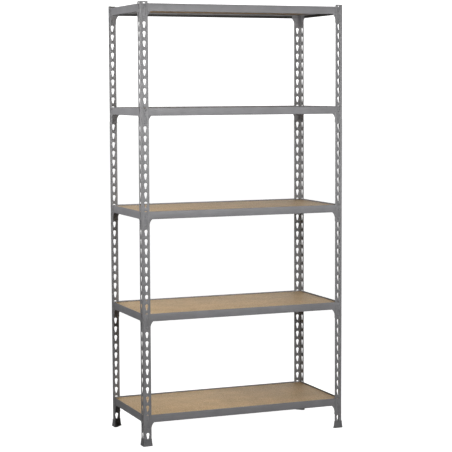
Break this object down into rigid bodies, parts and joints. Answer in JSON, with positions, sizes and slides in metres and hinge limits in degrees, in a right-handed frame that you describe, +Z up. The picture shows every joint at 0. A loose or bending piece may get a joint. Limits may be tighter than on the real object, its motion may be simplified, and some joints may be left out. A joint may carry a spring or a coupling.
{
  "type": "boltless steel shelving",
  "caption": "Free-standing boltless shelving: keyholed steel angle posts on plastic feet carry hooked steel beams with loose chipboard shelves between them.",
  "frame": {"origin": "on the floor, at the middle of the rack's width and depth", "axes": "+X along the rack's width, to the right seen from the front; -Y out of the front; +Z up along the posts"},
  "size_m": [0.908, 0.428, 1.809],
  "materials": {
    "post_paint": "satin grey stoved paint",
    "beam_paint": "satin grey stoved paint",
    "chipboard": "bare sanded chipboard",
    "foot_plastic": "moulded, fine texture"
  },
  "bodies": {
    "frame": {"post_front_left": "post_paint", "post_front_right": "post_paint", "post_rear_right": "post_paint", "post_rear_left": "post_paint", "foot_front_left": "foot_plastic", "foot_front_right": "foot_plastic", "foot_rear_right": "foot_plastic", "foot_rear_left": "foot_plastic", "beam_front_1": "beam_paint", "beam_right_1": "beam_paint", "beam_rear_1": "beam_paint", "beam_left_1": "beam_paint", "beam_front_2": "beam_paint", "beam_right_2": "beam_paint", "beam_rear_2": "beam_paint", "beam_left_2": "beam_paint", "beam_front_3": "beam_paint", "beam_right_3": "beam_paint", "beam_rear_3": "beam_paint", "beam_left_3": "beam_paint", "beam_front_4": "beam_paint", "beam_right_4": "beam_paint", "beam_rear_4": "beam_paint", "beam_left_4": "beam_paint", "beam_front_5": "beam_paint", "beam_right_5": "beam_paint", "beam_rear_5": "beam_paint", "beam_left_5": "beam_paint"},
    "board_1": {"board_1": "chipboard"},
    "board_2": {"board_2": "chipboard"},
    "board_3": {"board_3": "chipboard"},
    "board_4": {"board_4": "chipboard"},
    "board_5": {"board_5": "chipboard"}
  },
  "joints": [
    {"name": "board_1_lift", "type": "slide", "parent": "frame", "child": "board_1", "axis": [0, 0, 1], "range_m": [0, 0.38]},
    {"name": "board_2_lift", "type": "slide", "parent": "frame", "child": "board_2", "axis": [0, 0, 1], "range_m": [0, 0.38]},
    {"name": "board_3_lift", "type": "slide", "parent": "frame", "child": "board_3", "axis": [0, 0, 1], "range_m": [0, 0.38]},
    {"name": "board_4_lift", "type": "slide", "parent": "frame", "child": "board_4", "axis": [0, 0, 1], "range_m": [0, 0.38]},
    {"name": "board_5_lift", "type": "slide", "parent": "frame", "child": "board_5", "axis": [0, 0, 1], "range_m": [0, 0.38]}
  ]
}
